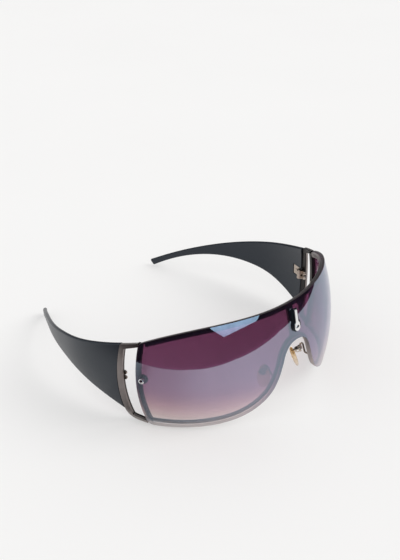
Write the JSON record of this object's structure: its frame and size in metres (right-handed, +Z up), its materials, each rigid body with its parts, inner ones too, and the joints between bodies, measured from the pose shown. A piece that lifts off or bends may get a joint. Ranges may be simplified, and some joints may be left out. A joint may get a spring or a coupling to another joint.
{
  "type": "shield sunglasses",
  "caption": "Wraparound shield sunglasses: a tinted lens on a metal frame with slotted end pieces, rocking nose pads and broad folding temples.",
  "frame": {"origin": "middle of the base of the bounding box, on the table that the glasses stand on with the temples open", "axes": "+Z up; -Y the way the lens faces, so the temples run to +Y; +X to the right-hand pieces"},
  "size_m": [0.1502, 0.1728, 0.0636],
  "materials": {
    "tinted_lens": "polished",
    "gunmetal": "satin",
    "bright_metal": "polished",
    "hinge_metal": "satin",
    "nylon": "matt",
    "temple_plastic": "satin",
    "amber_silicone": "soft"
  },
  "bodies": {
    "front": {"shield_lens": "tinted_lens", "brow_bar": "gunmetal", "nose_arch": "gunmetal", "bridge_clip": "bright_metal", "bridge_strut": "gunmetal", "bridge_screw": "bright_metal", "left_lower_rim": "gunmetal", "left_end_piece": "gunmetal", "left_lens_screw": "bright_metal", "left_lens_bushing": "nylon", "left_lens_nut": "gunmetal", "left_front_leaf": "hinge_metal", "left_hinge_screw": "hinge_metal", "left_pad_box": "hinge_metal", "left_pad_screw": "bright_metal", "left_pad_arm": "hinge_metal", "right_lower_rim": "gunmetal", "right_end_piece": "gunmetal", "right_lens_screw": "bright_metal", "right_lens_bushing": "nylon", "right_lens_nut": "gunmetal", "right_front_leaf": "hinge_metal", "right_hinge_screw": "hinge_metal", "right_pad_box": "hinge_metal", "right_pad_screw": "bright_metal", "right_pad_arm": "hinge_metal"},
    "left_temple": {"left_temple_leaf": "hinge_metal", "left_leaf_screw": "hinge_metal", "left_temple": "temple_plastic"},
    "left_pad": {"left_pad_tang": "hinge_metal", "left_nose_pad": "amber_silicone"},
    "right_temple": {"right_temple_leaf": "hinge_metal", "right_leaf_screw": "hinge_metal", "right_temple": "temple_plastic"},
    "right_pad": {"right_pad_tang": "hinge_metal", "right_nose_pad": "amber_silicone"}
  },
  "joints": [
    {"name": "left_temple_fold", "type": "hinge", "parent": "front", "child": "left_temple", "pos_m": [-0.06782, -0.02805, 0.02922], "axis": [0, 0, -1], "range_deg": [0, 92]},
    {"name": "right_temple_fold", "type": "hinge", "parent": "front", "child": "right_temple", "pos_m": [0.06782, -0.02805, 0.02922], "axis": [0, 0, 1], "range_deg": [0, 78]},
    {"name": "left_pad_rock", "type": "hinge", "parent": "front", "child": "left_pad", "pos_m": [-0.01305, -0.0745, 0.02488], "axis": [0.5, -0.866, 0], "range_deg": [-9, 9]},
    {"name": "right_pad_rock", "type": "hinge", "parent": "front", "child": "right_pad", "pos_m": [0.01305, -0.0745, 0.02488], "axis": [0.5, 0.866, 0], "range_deg": [-9, 9]}
  ]
}
